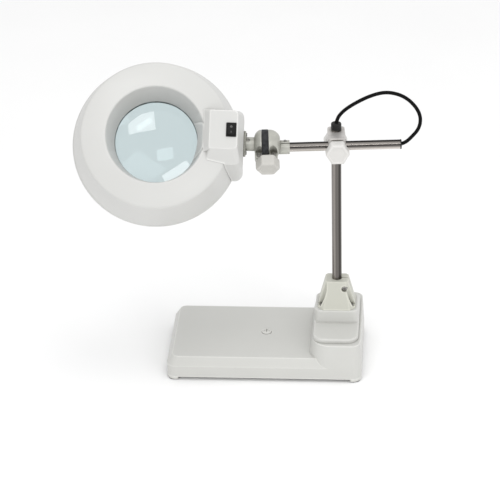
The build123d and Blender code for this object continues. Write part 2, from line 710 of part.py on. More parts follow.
WELL_TOP = 64.0         # the well for the lens is a separate moulding below this height
WELL_TOP_R = OPENING_R + (RECESS_R - OPENING_R) * (WELL_TOP - OPENING_Z) / (RECESS_Z - OPENING_Z)
SHADE_OUTLINE = (
    (RIM_R, 0), (TOP_R, TOP_Z), (RECESS_R, RECESS_Z), (WELL_TOP_R, WELL_TOP),
    (WELL_TOP_R + 3.2, WELL_TOP), (TOP_R - SKIN, TOP_Z - SKIN), (RIM_R - SKIN - 0.6, 0),
)
WELL_OUTLINE = (
    (WELL_TOP_R, WELL_TOP), (OPENING_R, OPENING_Z), (OPENING_R, SEAT_Z), (SEAT_R, SEAT_Z),
    (SEAT_R, 6), (SEAT_R + SKIN, 6), (SEAT_R + SKIN, OPENING_Z + 2),
    (WELL_TOP_R + SKIN, WELL_TOP),
)
with BuildPart() as head_shell:
    revolve(
        turned(SHADE_OUTLINE, (((TOP_R, TOP_Z), 5), ((RECESS_R, RECESS_Z), 3))),
        axis=Axis.Z,
    )
    with BuildSketch(Plane.XY.offset(TOP_Z - 12)):          # wiring hole under the switch
        with Locations((SWITCH_X - 14, 0)):
            Circle(5)
    extrude(amount=20, mode=Mode.SUBTRACT)
save(head_shell.part, "head_shell", HEAD)

with BuildPart() as lens_well:
    revolve(turned(WELL_OUTLINE), axis=Axis.Z)
save(lens_well.part, "lens_well", HEAD)

with BuildPart() as lens:
    with BuildSketch(Plane.XY.offset(LENS_Z - LENS_SAG)):
        Circle(LENS_R)
    extrude(amount=LENS_EDGE + 2 * LENS_SAG)
    for z in (LENS_Z + LENS_EDGE + LENS_SAG - LENS_CURVE, LENS_Z - LENS_SAG + LENS_CURVE):
        with Locations((0, 0, z)):
            Sphere(LENS_CURVE, mode=Mode.INTERSECT)
save(lens.part, "lens", HEAD)

with BuildPart() as lens_ring:
    with BuildSketch(Plane.XY.offset(8)):
        Circle(SEAT_R)
        Circle(SEAT_R - 3, mode=Mode.SUBTRACT)
    extrude(amount=LENS_Z - 0.8 - 8)
save(lens_ring.part, "lens_ring", HEAD)

with BuildPart() as circular_lamp:
    with BuildSketch(Plane.XZ.rotated((0, 0, LAMP_BASE_ANGLE / 2))) as tube_section:
        with Locations((LAMP_R, LAMP_Z)):
            Circle(LAMP_TUBE_R)
    revolve(tube_section.sketch, axis=Axis.Z, revolution_arc=360 - LAMP_BASE_ANGLE)
save(circular_lamp.part, "circular_lamp", HEAD)

with BuildPart() as lamp_base:
    with BuildSketch(Plane.XZ.rotated((0, 0, -LAMP_BASE_ANGLE / 2))) as base_section:
        with Locations((LAMP_R, LAMP_Z)):
            RectangleRounded(2 * LAMP_TUBE_R + 4, 2 * LAMP_TUBE_R + 4, 5)
    revolve(base_section.sketch, axis=Axis.Z, revolution_arc=LAMP_BASE_ANGLE)
save(lamp_base.part, "lamp_base", HEAD)

CLIP_ANGLES = (60, 180, 300)
with BuildPart() as lamp_clips:
    for angle in CLIP_ANGLES:
        a = radians(angle)
        across = Plane(origin=(0, 0, 0), x_dir=(cos(a), sin(a), 0), z_dir=(sin(a), -cos(a), 0))
        with BuildSketch(across.offset(-4)) as clip:
            with Locations((LAMP_R, LAMP_Z)):
                Circle(LAMP_TUBE_R + 1.2)
                Circle(LAMP_TUBE_R + 0.1, mode=Mode.SUBTRACT)
            with Locations((LAMP_R, LAMP_Z - LAMP_TUBE_R)):
                Rectangle(40, 16, mode=Mode.SUBTRACT)
            with Locations((LAMP_R, (LAMP_Z + LAMP_TUBE_R + 0.4 + TOP_Z - SKIN + 1.8) / 2)):
                Rectangle(1.2, TOP_Z - SKIN + 1.4 - LAMP_Z - LAMP_TUBE_R)
        extrude(clip.sketch, amount=8)
save(lamp_clips.part, "lamp_clips", HEAD)


def housing_form(inset):
    """The switch housing's tapering form, drawn in by a wall, in the current builder."""
    mode = Mode.SUBTRACT if inset else Mode.ADD
    levels = (      # height, near end, far end, lower side, upper side, corner radius
        (2, 80, BOX_END, -53, 52, 12),
        (46, 80, BOX_END, -45, 44, 10),
        (62, 74, BOX_END - 4, -41, 40, 9),
        (BOX_TOP, 82, BOX_END - 8.5, -21, 37, 7),
    )
    for low, high in zip(levels, levels[1:]):
        sections = [
            footprint(
                z - inset * (z == BOX_TOP), x0 + inset, x1 - inset, y0 + inset, y1 - inset,
                3, r - inset,
            )
            for z, x0, x1, y0, y1, r in (low, high)
        ]
        loft(sections, mode=mode)


def housing_ramp():
    """The slope that runs from the housing's top down the side of the well to the lens."""
    levels = (      # height, near end, lower side, upper side
        (OPENING_Z + 0.3, 54.5, -30, 44), (RECESS_Z - 1.4, 69.5, -24, 41), (BOX_TOP, 80, -21, 37),
    )
    free_space = turned((
        (0, OPENING_Z + 0.3), (OPENING_R, OPENING_Z + 0.3), (RECESS_R - 0.05, RECESS_Z),
        (RECESS_R + 0.3, RECESS_Z + 0.1), (95, 64.6), (95, BOX_TOP), (0, BOX_TOP),
    ))
    with BuildPart(mode=Mode.PRIVATE) as ramp:
        sections = [footprint(z, x, 90, low, high, 3, 3) for z, x, low, high in levels]
        loft(sections[:2])
        loft(sections[1:])
        revolve(free_space, axis=Axis.Z, mode=Mode.INTERSECT)
        with BuildSketch():
            Circle(OPENING_R)
        extrude(amount=BOX_TOP, mode=Mode.SUBTRACT)
    return ramp.part


BODY_W, BODY_L, BODY_H = 13.0, 19.0, 14.0
with BuildPart() as switch_housing:
    housing_form(0)
    housing_form(SKIN)
    solid_shade = turned(
        ((0, -1), (RIM_R + 0.4, -1), (TOP_R + 0.1, TOP_Z + 0.1), (RECESS_R + 1, RECESS_Z), (0, 60)),
    )
    revolve(solid_shade, axis=Axis.Z, mode=Mode.SUBTRACT)
    with BuildSketch(Plane.XY.offset(50)):
        Circle(RECESS_R + 1)
    extrude(amount=40, mode=Mode.SUBTRACT)
    add(housing_ramp())
    with BuildSketch(Plane.XY.offset(BOX_TOP - SKIN)):
        with Locations((SWITCH_X, SWITCH_Y)):
            Rectangle(BODY_W, BODY_L)
    extrude(amount=SKIN, mode=Mode.SUBTRACT)
    with BuildSketch(cross(BOX_END)):
        with Locations((0, NECK_Z)):
            Circle(NECK_R)
            with Locations((-14, 0), (14, 0)):
                Circle(1.5)
    extrude(amount=-SKIN - 1, mode=Mode.SUBTRACT)
save(switch_housing.part, "switch_housing", HEAD)

with BuildPart() as neck_flange:
    with BuildSketch(cross(BOX_END)):
        with Locations((0, NECK_Z)):
            SlotOverall(39, 22)
            Circle(NECK_R, mode=Mode.SUBTRACT)
            with Locations((-14, 0), (14, 0)):
                Circle(1.7, mode=Mode.SUBTRACT)
    extrude(amount=SLEEVE_START - BOX_END)
    chamfer(neck_flange.faces().sort_by(Axis.X)[-1].outer_wire().edges(), 0.8)
save(neck_flange.part, "neck_flange", HEAD)

with BuildPart() as flange_screws:
    for y in (-14, 14):
        with BuildSketch(cross(BOX_END - 6)) as shank:
            with Locations((y, NECK_Z)):
                Circle(1.45)
        extrude(shank.sketch, amount=6 + SLEEVE_START - BOX_END)
        with BuildSketch(cross(SLEEVE_START)) as head_disc:
            with Locations((y, NECK_Z)):
                Circle(2.9)
        extrude(head_disc.sketch, amount=1.6)
    chamfer(flange_screws.edges().group_by(Axis.X)[-1], 0.6)
save(flange_screws.part, "flange_screws", HEAD)

with BuildPart() as neck_tube:
    with BuildSketch(cross(BOX_END - SKIN)):
        with Locations((0, NECK_Z)):
            Circle(NECK_R)
            Circle(NECK_R - TUBE_WALL, mode=Mode.SUBTRACT)
    extrude(amount=NECK_TUBE_END - BOX_END + SKIN)
save(neck_tube.part, "neck_tube", HEAD)

# ---------------------------------------------------------------- rocker switch, about its own pivot
SWITCH = within(HEAD, Plane(origin=(SWITCH_X, SWITCH_Y, BOX_TOP)))
ROCKER_W, ROCKER_R, VALLEY = 10.0, 8.6, 1.4
PIVOT_R = 1.0
BEZEL_T = 1.6
with BuildPart() as switch_body:
    with BuildSketch():
        RectangleRounded(BEZEL_W, BEZEL_L, 1)
    extrude(amount=BEZEL_T)
    chamfer(switch_body.edges().group_by(Axis.Z)[-1], 0.5)
    with BuildSketch():
        Rectangle(BODY_W, BODY_L)
    extrude(amount=-BODY_H)
    with BuildSketch(cross(-ROCKER_W / 2 - GAP)):
        Circle(ROCKER_R + GAP)
    extrude(amount=ROCKER_W + 2 * GAP, mode=Mode.SUBTRACT)
    with BuildSketch(cross(-ROCKER_W / 2 - GAP - 0.8)):
        Circle(PIVOT_R + FIT)
    extrude(amount=ROCKER_W + 2 * GAP + 1.6, mode=Mode.SUBTRACT)
save(switch_body.part, "switch_body", SWITCH)

with BuildPart() as switch_rocker:
    with BuildSketch(cross(-ROCKER_W / 2)):
        Circle(ROCKER_R)
        lift = VALLEY + 10 * tan(radians(ROCKER_ANGLE))
        with BuildSketch(mode=Mode.INTERSECT):
            Polygon((-10, -5), (10, -5), (10, lift), (0, VALLEY), (-10, lift), align=None)
    extrude(amount=ROCKER_W)
    with BuildSketch(cross(-ROCKER_W / 2 - GAP - 0.6)):
        Circle(PIVOT_R)
    extrude(amount=ROCKER_W + 2 * GAP + 1.2)
save(
    switch_rocker.part.rotate(Axis.X, -ROCKER_ANGLE), "switch_rocker", SWITCH,
)

# ---------------------------------------------------------------- loop of cable, post to arm
LOOP = (
    (POST_X + 0.2, POST_Y, CAP_TOP + 1.3),
    (114.8, 3.4, 413.8),
    (130.6, 2.4, 428.8),
    (161.0, 0.4, 447.2),
    (187.2, -1.2, 454.6),
    (214.8, -2.6, 446.2),
    (234.8, -3.6, 422.0),
    (234.9, -4.2, 397.8),
    (220.0, -4.6, 379.2),
    (210.4, -4.4, 373.2),
)


def bend_radii(points):
    """The largest arc for each inner point of a route: 0.45 of the shorter run over tan(half turn)."""
    radii = []
    for before, at, after in zip(points, points[1:], points[2:]):
        first = Vector(at) - Vector(before)
        second = Vector(after) - Vector(at)
        half_turn = radians(first.get_angle(second)) / 2
        radii.append(0.45 * min(first.length, second.length) / tan(half_turn))
    return radii


radii = bend_radii(LOOP)
with BuildPart() as loop_cable:
    with BuildLine() as route:
        FilletPolyline(*LOOP, radius=radii)
    with BuildSketch(Plane(origin=LOOP[0], z_dir=Vector(LOOP[1]) - Vector(LOOP[0]))):
        Circle(CORD_D / 2)
    sweep()
length = route.wires()[0].length
print("loop radii", [round(r, 1) for r in radii], "length", round(length, 1))
print("volume", round(loop_cable.part.volume), "section", round(length * pi * CORD_D**2 / 4))
save(loop_cable.part, "loop_cable")
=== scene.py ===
"""Magnifying lamp: looks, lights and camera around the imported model.

Frame: +X to the right, +Y away from the user, +Z up, in metres, origin under the middle of the base.
"""

import json
from math import atan2, cos, pi, radians, sin, sqrt, tan

import bmesh
import bpy
from mathutils import Matrix, Vector


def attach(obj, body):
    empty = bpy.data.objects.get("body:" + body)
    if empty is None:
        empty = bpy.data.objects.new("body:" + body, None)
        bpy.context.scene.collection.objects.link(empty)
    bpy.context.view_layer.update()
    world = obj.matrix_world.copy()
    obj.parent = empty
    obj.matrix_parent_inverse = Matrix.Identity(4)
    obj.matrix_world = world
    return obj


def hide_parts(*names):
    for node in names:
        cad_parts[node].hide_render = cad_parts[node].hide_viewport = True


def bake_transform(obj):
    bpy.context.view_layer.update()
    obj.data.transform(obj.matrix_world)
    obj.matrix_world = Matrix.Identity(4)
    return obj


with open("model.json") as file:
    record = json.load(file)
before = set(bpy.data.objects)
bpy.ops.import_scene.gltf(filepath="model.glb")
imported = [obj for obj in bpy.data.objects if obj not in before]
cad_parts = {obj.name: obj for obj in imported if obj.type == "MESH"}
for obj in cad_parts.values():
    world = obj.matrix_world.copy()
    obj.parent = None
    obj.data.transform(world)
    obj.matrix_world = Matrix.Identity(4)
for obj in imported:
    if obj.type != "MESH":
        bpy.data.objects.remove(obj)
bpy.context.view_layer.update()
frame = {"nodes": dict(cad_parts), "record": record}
MM = 0.001
JOINTS = {joint["name"]: joint for joint in frame["record"]["behaviour"]["joints"]}

# ---------------------------------------------------------------- sizes shared with the CAD, millimetres
HEAD_TILT = 39.8            # optical axis above the horizontal, degrees
POST_X, POST_Y = 110.0, 4.0
ARM_Z, ARM_OFFSET = 370.0, 16.5      # the arm crosses this far in front of the post
NECK_Z, HEAD_REACH = 23.0, 162.0
RIM_R, TOP_R, TOP_Z = 126.0, 110.3, 62.3
RECESS_R, RECESS_Z = 73.0, 67.4
OPENING_R, OPENING_Z = 62.0, 19.0
SKIN = 2.5
LIP_H = 4.0                 # height of the step round the shade's lower rim
SEAT_GAP, SEAT_LOW, SEAT_HIGH = 0.4, 6.0, 17.5      # the lens's seat in the well
LENS_R, LENS_EDGE, LENS_SAG, LENS_Z = 63.5, 4.0, 5.8, 13.0
LAMP_R, LAMP_TUBE_R, LAMP_Z, LAMP_BASE_ANGLE = 93.5, 14.5, 28.0, 26.0
KNOB_R = 18.2
RING_R, RING_W, HUB_R, NOTCH = 22.5, 10.6, 12.05, 6.8
ROCKER_W, ROCKER_R, VALLEY, ROCKER_ANGLE = 10.0, 8.6, 1.4, 10.0
CORD_D = 5.5
LOOP = (
    (110.0, 4.0, 398.2), (110.2, 4.0, 401.3), (114.8, 3.4, 413.8), (130.6, 2.4, 428.8), (161.0, 0.4, 447.2),
    (187.2, -1.2, 454.6), (214.8, -2.6, 446.2), (234.8, -3.6, 422.0), (234.9, -4.2, 397.8),
    (220.0, -4.6, 379.2), (211.5, -4.2, 371.6), (205.5, -4.4, 370.2),
)

# ---------------------------------------------------------------- frames of the sub-assemblies
UP = Vector((0, 0, 1))
ARM_DIR = Vector(JOINTS["head_roll"]["axis"]).normalized()
SWIVEL = Vector(JOINTS["head_roll"]["pos_m"])
AWAY = UP.cross(ARM_DIR)
OPTICAL = UP * sin(radians(HEAD_TILT)) - AWAY * cos(radians(HEAD_TILT))
NECK_DIR = Vector(JOINTS["rocker_tilt"]["axis"]).normalized()


def placed(origin, x_dir, z_dir):
    """The matrix of a frame given by its origin, its X direction and its Z direction."""
    z = z_dir.normalized()
    y = z.cross(x_dir).normalized()
    x = y.cross(z)
    matrix = Matrix((x, y, z)).transposed().to_4x4()
    matrix.translation = origin
    return matrix


HEAD = placed(SWIVEL - NECK_DIR * HEAD_REACH * MM - OPTICAL * NECK_Z * MM, NECK_DIR, OPTICAL)
KNOB_AXIS = Vector(JOINTS["joint_knob_turn"]["axis"]).normalized()
JOINT = placed(SWIVEL, ARM_DIR, -KNOB_AXIS)
ROCKER = placed(Vector(JOINTS["rocker_tilt"]["pos_m"]), NECK_DIR, OPTICAL)
POST = placed(Vector((POST_X, POST_Y, 0)) * MM, Vector((1, 0, 0)), UP)
ARM = placed(Vector((POST_X, POST_Y, ARM_Z)) * MM - AWAY * ARM_OFFSET * MM, -AWAY, ARM_DIR)


# ---------------------------------------------------------------- materials
WHITE = (1, 1, 1)
# colour of the painted shade in a casting's crevices
CREVICE_SHADE = (0.3, 0.29, 0.26)
CORNER_SHADE_SHARE = 0.82           # how dark the painted shade in a moulding's corners is
HIGHLIGHT_WIDTH, HIGHLIGHT_GAIN = 0.004, 1.30     # metres of painted highlight along a moulding's edges, and how much lighter it is
STEEL_TINT = (1.0, 0.93, 0.87)
POST_REFLECTIONS = (      # degrees round the post from +X, and how light the painted reflection on the steel is there
    (-180, 0.25), (-151, 0.24), (-132, 0.22), (-118, 0.33), (-105, 0.22), (-93, 0.13), (-82, 0.16),
    (-70, 0.14), (-57, 0.06), (-41, 0.06), (-17, 0.22), (5, 0.24), (30, 0.07), (62, 0.14),
    (95, 0.3), (130, 0.16), (155, 0.24), (180, 0.25),
)
ARM_REFLECTIONS = (       # the same painted reflections round the arm, from the user's side and downwards
    (-180, 0.30), (-150, 0.12), (-120, 0.22), (-95, 0.01), (-72, 0.015), (-50, 0.40), (-38, 0.34),
    (-22, 0.015), (3, 0.26), (29, 0.70), (55, 0.50), (90, 0.20), (120, 0.10), (150, 0.34), (180, 0.30),
)


class Nodes:
    """A material's node tree with its Principled shader, and a short way to add to it."""

    def __init__(self, name, color, roughness, metallic=0.0, **constants):
        self.material = bpy.data.materials.new(name)
        self.material.use_nodes = True
        self.material.diffuse_color = (*color, 1)
        self.tree = self.material.node_tree
        self.shader = self.tree.nodes["Principled BSDF"]
        self.set(**{"Base Color": (*color, 1), "Roughness": roughness, "Metallic": metallic})
        self.set(**constants)
        self.place = self.add("ShaderNodeTexCoord").outputs["Object"]

    def set(self, **values):
        for socket, value in values.items():
            self.shader.inputs[socket].default_value = value

    def add(self, kind, inputs=None, **settings):
        node = self.tree.nodes.new(kind)
        for key, value in settings.items():
            setattr(node, key, value)
        for socket, value in (inputs or {}).items():
            if isinstance(value, bpy.types.NodeSocket):
                self.tree.links.new(value, node.inputs[socket])
            else:
                node.inputs[socket].default_value = value
        return node

    def noise(self, scale, detail=4.0, stretch=None):
        place = self.place
        if stretch:
            place = self.add("ShaderNodeMapping", {"Vector": place, "Scale": stretch}).outputs[0]
        values = {"Vector": place, "Scale": scale, "Detail": detail}
        return self.add("ShaderNodeTexNoise", values).outputs["Fac"]

    def ramp(self, factor, *stops):
        node = self.add("ShaderNodeValToRGB", {"Fac": factor})
        ramp = node.color_ramp
        for _ in stops[2:]:
            ramp.elements.new(0.5)
        for element, (position, color) in zip(ramp.elements, stops):
            element.position = position
            element.color = (*color, 1)
        return node.outputs["Color"]

    def level(self, factor, low, high):
        values = {"Value": factor, "To Min": low, "To Max": high}
        return self.add("ShaderNodeMapRange", values).outputs["Result"]

    def multiplied(self, first, second):
        mix = self.add("ShaderNodeMix", data_type="RGBA", blend_type="MULTIPLY")
        mix.inputs["Factor"].default_value = 1.0
        for socket, output in ((6, first), (7, second)):    # the colour sockets of the node
            self.tree.links.new(output, mix.inputs[socket])
        return mix.outputs[2]

    def link(self, socket, output):
        self.tree.links.new(output, self.shader.inputs[socket])

    def relief(self, *layers, edge=0.0):
        """Bump layers of (height output, strength, distance in metres), over rounded edges."""
        normal = None
        if edge:
            normal = self.add("ShaderNodeBevel", {"Radius": edge}, samples=6).outputs[0]
        for height, strength, distance in layers:
            values = {"Height": height, "Strength": strength, "Distance": distance}
            if normal:
                values["Normal"] = normal
            normal = self.add("ShaderNodeBump", values).outputs[0]
        self.link("Normal", normal)


def tinted(color, factor):
    return tuple(channel * factor for channel in color)


def moulded(name, color, roughness, edge, grain=0.25, specular=0.5):
    """Moulded plastic or lacquer: fine grain, faint blotches, painted shade in corners, painted highlights
    on edges.
    """
    gloss = {"Specular IOR Level": specular, "Coat Weight": 0.06, "Coat Roughness": 0.2}
    n = Nodes(name, color, roughness, **{"IOR": 1.46, **gloss})
    blotch = n.ramp(n.noise(9, 3), (0.3, tinted(color, 0.965)), (0.7, color))
    # painted shade: darker where ambient occlusion finds a corner or recess
    crevice = n.add("ShaderNodeAmbientOcclusion", {"Distance": 0.006}, samples=6).outputs["AO"]
    corner_shade = n.ramp(crevice, (0.25, tinted(color, CORNER_SHADE_SHARE)), (0.8, WHITE))
    # painted highlight: lighter along edges, where the rounded normal leaves the face's own
    highlight_normal = n.add("ShaderNodeBevel", {"Radius": HIGHLIGHT_WIDTH}, samples=6).outputs[0]
    face = n.add("ShaderNodeNewGeometry").outputs["Normal"]
    dot = n.add("ShaderNodeVectorMath", {0: highlight_normal, 1: face}, operation="DOT_PRODUCT").outputs["Value"]
    edge_highlight = n.ramp(dot, (0.88, tinted(WHITE, HIGHLIGHT_GAIN)), (0.997, WHITE))
    n.link("Base Color", n.multiplied(n.multiplied(blotch, corner_shade), edge_highlight))
    n.link("Roughness", n.level(n.noise(35, 5), roughness - 0.06, roughness + 0.07))
    fine = n.noise(2600, 2)
    n.relief((fine, grain, 0.00006), (n.noise(14, 1), 0.10, 0.0008), edge=edge)
    return n.material


def cast(name, color, roughness, edge):
    """Sand-textured cast metal: a blotched tone, fine pits and painted shade in its crevices."""
    n = Nodes(name, color, roughness, metallic=0.55)
    pits = n.noise(420, 4)
    tone = n.ramp(n.noise(60, 5), (0.3, tinted(color, 0.80)), (0.62, color))
    # painted shade: darker where ambient occlusion finds a crevice
    crevice = n.add("ShaderNodeAmbientOcclusion", {"Distance": 0.008}, samples=6).outputs["AO"]
    crevice_shade = n.ramp(crevice, (0.35, CREVICE_SHADE), (0.9, WHITE))
    n.link("Base Color", n.multiplied(tone, crevice_shade))
    n.link("Roughness", n.level(pits, roughness - 0.08, roughness + 0.14))
    n.relief((pits, 0.35, 0.0001), (n.noise(50, 3), 0.25, 0.0004), edge=edge)
    return n.material


def drawn_tube(name, axis, stops):
    """Polished steel tube along the Z of a frame: painted reflections in bands round it, drawing lines
    along it.
    """
    n = Nodes(name, (0.3, 0.28, 0.26), 0.22, metallic=1.0)
    values = {"Vector": n.place, "Location": axis.translation, "Rotation": axis.to_euler()}
    n.place = n.add("ShaderNodeMapping", values, vector_type="TEXTURE").outputs[0]
    # painted reflections: light and dark bands at fixed angles round the tube, wobbled a little by noise
    wander = n.noise(1.0, 2, (9, 9, 4))
    shift = n.level(wander, -0.022, 0.022)
    turn = n.add("ShaderNodeTexGradient", {"Vector": n.place}, gradient_type="RADIAL")
    total = n.add("ShaderNodeMath", {0: turn.outputs["Fac"], 1: shift}, operation="ADD")
    painted_reflections = [((angle + 180) / 360, tinted(STEEL_TINT, tone)) for angle, tone in stops]
    lines = n.noise(1.0, 6, (520, 520, 1.2))
    n.link("Base Color", n.ramp(total.outputs[0], *painted_reflections))
    n.link("Roughness", n.level(lines, 0.12, 0.26))
    n.relief((lines, 0.12, 0.00005))
    return n.material


def machined(name, color, roughness):
    """Plated steel with a fine grain and a little tarnish."""
    n = Nodes(name, color, roughness, metallic=1.0)
    tarnish = n.noise(230, 4)
    n.link("Base Color", n.ramp(tarnish, (0.35, tinted(color, 0.6)), (0.65, color)))
    n.link("Roughness", n.level(tarnish, roughness - 0.05, roughness + 0.12))
    n.relief((n.noise(1500, 2), 0.15, 0.00005), edge=0.0003)
    return n.material


def elastomer(name, color, roughness, edge, specular=0.22):
    """Rubber or cable sheath: a faint bloom and fine pores."""
    n = Nodes(name, color, roughness, **{"Specular IOR Level": specular, "Sheen Weight": 0.03})
    bloom = n.noise(130, 5)
    n.link("Base Color", n.ramp(bloom, (0.35, color), (0.75, tinted(color, 1.9))))
    n.link("Roughness", n.level(bloom, roughness - 0.06, roughness + 0.1))
    n.relief((n.noise(1800, 3), 0.25, 0.00006), edge=edge)
    return n.material


def optical_glass():
    """The lens: glass with a pale blue-green tint, faint smears and slight waves."""
    n = Nodes("lens glass", (0.57, 0.665, 0.68), 0.02, **{"IOR": 1.5, "Transmission Weight": 1.0})
    n.link("Roughness", n.level(n.noise(28, 5), 0.0, 0.05))
    n.relief((n.noise(12, 2), 0.02, 0.0003))
    return n.material


def lamp_coating():
    """The circular tube: white phosphor under glass, slightly mottled."""
    n = Nodes("lamp tube", (0.9, 0.9, 0.88), 0.12, **{"Coat Weight": 0.8, "Coat Roughness": 0.04})
    n.link("Base Color", n.ramp(n.noise(18, 3), (0.3, (0.84, 0.84, 0.81)), (0.7, (0.92, 0.92, 0.9))))
    n.link("Roughness", n.level(n.noise(90, 3), 0.1, 0.22))
    return n.material


ABS = moulded("white abs", (0.565, 0.565, 0.54), 0.38, 0.0011)
SOCKET_ABS = moulded("socket abs", (0.52, 0.52, 0.46), 0.40, 0.0010)
ENAMEL = moulded("shade abs", (0.57, 0.57, 0.555), 0.33, 0.0008, grain=0.15)
KNOB_PLASTIC = moulded("knob plastic", (0.63, 0.62, 0.60), 0.36, 0.0006, grain=0.12)
# the knob plastic made darker: painted shade for the joint knob, which sits in shadow under the joint
SHADED_KNOB_PLASTIC = moulded("knob plastic with painted shade", (0.50, 0.49, 0.46), 0.38, 0.0006, grain=0.12)
BLACK_PLASTIC = moulded("black plastic", (0.012, 0.012, 0.012), 0.46, 0.0003, specular=0.15)
ALLOY = cast("cast alloy", (0.50, 0.50, 0.455), 0.36, 0.0006)
CLAMP_ALLOY = cast("clamp alloy", (0.62, 0.60, 0.58), 0.40, 0.0008)
POST_STEEL = drawn_tube("post steel", POST, POST_REFLECTIONS)
ARM_STEEL = drawn_tube("arm steel", ARM, ARM_REFLECTIONS)
STEEL = machined("screw steel", (0.42, 0.41, 0.39), 0.34)
RUBBER = elastomer("black rubber", (0.012, 0.012, 0.012), 0.5, 0.0004)
CABLE = elastomer("cable sheath", (0.0015, 0.0015, 0.0015), 0.45, 0.0, specular=0.1)
PAD_RUBBER = elastomer("pad rubber", (0.05, 0.05, 0.05), 0.6, 0.0004)
SEAL_RUBBER = elastomer("seal rubber", (0.24, 0.24, 0.235), 0.55, 0.0004)
GRIP = machined("dark grip ring", (0.075, 0.077, 0.08), 0.42)
IRON = cast("ballast iron", (0.16, 0.16, 0.16), 0.6, 0.001)
LACQUER = moulded("grey lacquer", (0.20, 0.21, 0.23), 0.4, 0.0006)
PRINT = moulded("white print", (0.24, 0.24, 0.23), 0.5, 0.0)

FINISHES = {
    ABS: (
        "base_shell", "bottom_cover", "corner_feet", "ballast_screw", "pedestal_cover",
        "lamp_base",
    ),
    ENAMEL: ("head_shell", "lens_well", "switch_housing"),
    SOCKET_ABS: ("post_socket",),
    KNOB_PLASTIC: ("front_knob", "back_knob"),
    SHADED_KNOB_PLASTIC: ("joint_knob",),
    BLACK_PLASTIC: ("switch_body", "switch_rocker"),
    ALLOY: ("arm_side_casting", "head_side_casting", "neck_flange", "neck_tube"),
    CLAMP_ALLOY: ("clamp_block",),
    POST_STEEL: ("post_tube",),
    ARM_STEEL: ("arm_tube",),
    STEEL: (
        "cover_screws", "pedestal_screws", "socket_screws", "post_pinch_screw", "swivel_pin",
        "front_knob_stud", "back_knob_stud", "joint_knob_stud", "arm_side_screw",
        "head_side_screw", "arm_grub_screw", "neck_grub_screw", "flange_screws", "lamp_clips",
    ),
    RUBBER: ("post_cap", "arm_end_bush", "mains_gland"),
    CABLE: ("loop_cable",),
    PAD_RUBBER: ("foot_pads",),
    SEAL_RUBBER: ("lens_ring",),
    GRIP: ("friction_ring",),
    IRON: ("ballast_weight",),
    LACQUER: ("control_gear",),
    optical_glass(): ("lens",),
    lamp_coating(): ("circular_lamp",),
}
MATERIAL_OF = {node: material for material, nodes in FINISHES.items() for node in nodes}
for node, material in MATERIAL_OF.items():
    slots = frame["nodes"][node].material_slots
    for slot in slots:
        slot.material = material


# ---------------------------------------------------------------- mesh helpers
def piece(name, points, faces, nodes, body, matrix, material=None, sharp=34, replace=True):
    """A mesh given in a frame's own millimetres that rides on a body and stands for CAD nodes."""
    mesh = bpy.data.meshes.new(name)
    mesh.from_pydata([matrix @ (Vector(p) * MM) for p in points], [], faces)
    tidy = bmesh.new()
    tidy.from_mesh(mesh)
    bmesh.ops.remove_doubles(tidy, verts=tidy.verts, dist=1e-6)
    bmesh.ops.recalc_face_normals(tidy, faces=tidy.faces)
    tidy.to_mesh(mesh)
    tidy.free()
    mesh.shade_smooth()
    mesh.set_sharp_from_angle(angle=radians(sharp))
    mesh.materials.append(material or MATERIAL_OF[nodes[0]])
    obj = bpy.data.objects.new(name, mesh)
    bpy.context.scene.collection.objects.link(obj)
    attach(obj, body)
    if replace:
        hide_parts(*nodes)


def bridged(rings, closed=True, caps=False):
    """Points and quads that join equal rings of points one after another."""
    count = len(rings[0])
    points = [p for ring in rings for p in ring]
    faces = []
    last = count if closed else count - 1
    for row in range(len(rings) - 1):
        for i in range(last):
            j = (i + 1) % count
            low, high = row * count, (row + 1) * count
            faces.append((low + i, low + j, high + j, high + i))
    if caps:
        faces.append(tuple(range(count)))
        faces.append(tuple(range(len(points) - count, len(points))))
    return points, faces


def rounded(outline, radii, steps=6):
    """A closed outline of 2-D points with the corners at the given indexes turned into arcs."""
    result = []
    count = len(outline)
    for i, corner in enumerate(outline):
        radius = radii.get(i, 0)
        here = Vector(corner)
        if not radius:
            result.append(here)
            continue
        back = (Vector(outline[i - 1]) - here).normalized()
        on = (Vector(outline[(i + 1) % count]) - here).normalized()
        half = back.angle(on) / 2
        centre = here + (back + on).normalized() * radius / sin(half)
        first = here + back * radius / tan(half) - centre
        last = here + on * radius / tan(half) - centre
        turn = atan2(first.x * last.y - first.y * last.x, first.dot(last))
        for k in range(steps + 1):
            a = turn * k / steps
            spoke = Vector((
                first.x * cos(a) - first.y * sin(a),
                first.x * sin(a) + first.y * cos(a),
            ))
            result.append(centre + spoke)
    return result


def turned(profile, segments=144):
    """Rings of a closed (radius, height) profile turned about Z, the last joined to the first."""
    rings = []
    for k in range(segments):
        a = 2 * pi * k / segments
        rings.append([(r * cos(a), r * sin(a), z) for r, z in profile])
    rings.append(rings[0])
    return bridged(rings)


# ---------------------------------------------------------------- head
def shade():
    """The shade and its well in one skin, turned about the optical axis."""
    seat_r = LENS_R + SEAT_GAP
    outline = (
        (RIM_R, 0.0), (RIM_R - 1.0, LIP_H), (RIM_R - 1.5, LIP_H), (RIM_R - 1.8, LIP_H + 1.2),
        (TOP_R, TOP_Z), (RECESS_R, RECESS_Z), (OPENING_R, OPENING_Z),
        (OPENING_R, SEAT_HIGH), (seat_r, SEAT_HIGH), (seat_r, SEAT_LOW), (seat_r + SKIN, SEAT_LOW),
        (seat_r + SKIN, OPENING_Z + 2), (RECESS_R + SKIN, RECESS_Z - SKIN - 0.2),
        (TOP_R - SKIN, TOP_Z - SKIN), (RIM_R - SKIN - 0.6, 0.0),
    )
    soft = {0: 0.8, 4: 5.0, 5: 3.0, 6: 1.0, 9: 0.8, 10: 0.8, 12: 1.5, 13: 3.0, 14: 0.8}
    points, faces = turned(rounded(outline, soft), segments=192)
    piece("shade", points, faces, ("head_shell", "lens_well"), "head", HEAD, sharp=40)


